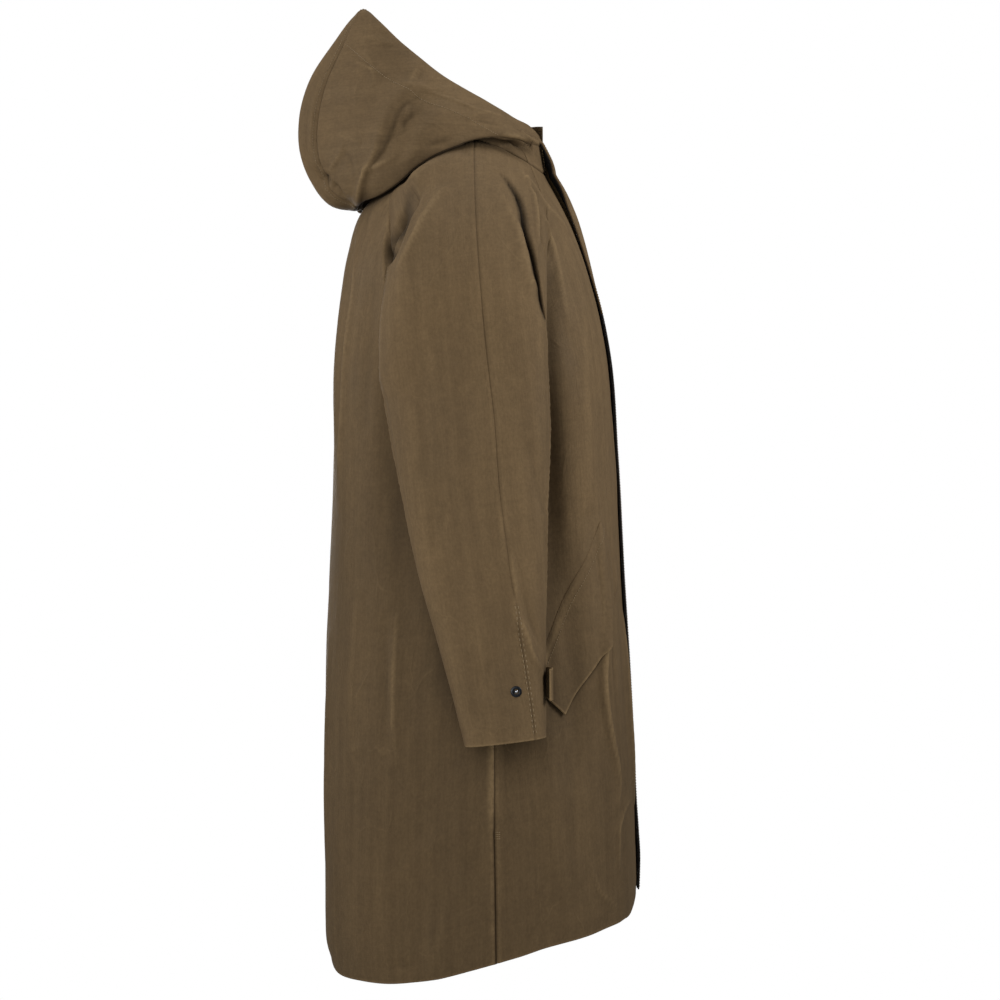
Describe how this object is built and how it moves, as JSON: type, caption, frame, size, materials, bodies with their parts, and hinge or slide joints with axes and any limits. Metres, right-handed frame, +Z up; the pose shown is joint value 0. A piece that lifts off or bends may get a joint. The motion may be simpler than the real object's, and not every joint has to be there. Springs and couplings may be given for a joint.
{
  "type": "hooded raglan parka",
  "caption": "Knee-length hooded parka, filled out as if worn: raglan sleeves, fly front, slanted pocket flaps, cuff tabs and a longer back hem.",
  "frame": {"origin": "middle of the neck opening at the height of the shoulder seam's neck end, where the wearer's shoulders carry the coat", "axes": "+Z up, -Y out of the coat's front, +X towards the wearer's left"},
  "size_m": [0.651, 0.4442, 1.2387],
  "materials": {
    "shell_cloth": "brown waxed cotton, faint streaks and a low sheen",
    "facing_cloth": "matt black cotton",
    "snap_metal": "black lacquer, satin"
  },
  "bodies": {
    "root": {"front_right": "shell_cloth", "front_left": "shell_cloth", "front_fly": "shell_cloth", "fly_facing": "facing_cloth", "back": "shell_cloth", "sleeve_front_right": "shell_cloth", "sleeve_back_right": "shell_cloth", "sleeve_front_left": "shell_cloth", "sleeve_back_left": "shell_cloth", "hood_side_right": "shell_cloth", "hood_side_left": "shell_cloth", "hood_centre_strip": "shell_cloth", "hood_neck_stand": "shell_cloth", "pocket_flap_right": "shell_cloth", "pocket_flap_left": "shell_cloth", "cuff_tab_right": "shell_cloth", "cuff_tab_left": "shell_cloth", "cuff_stud_right": "snap_metal", "cuff_stud_left": "snap_metal"}
  },
  "joints": []
}
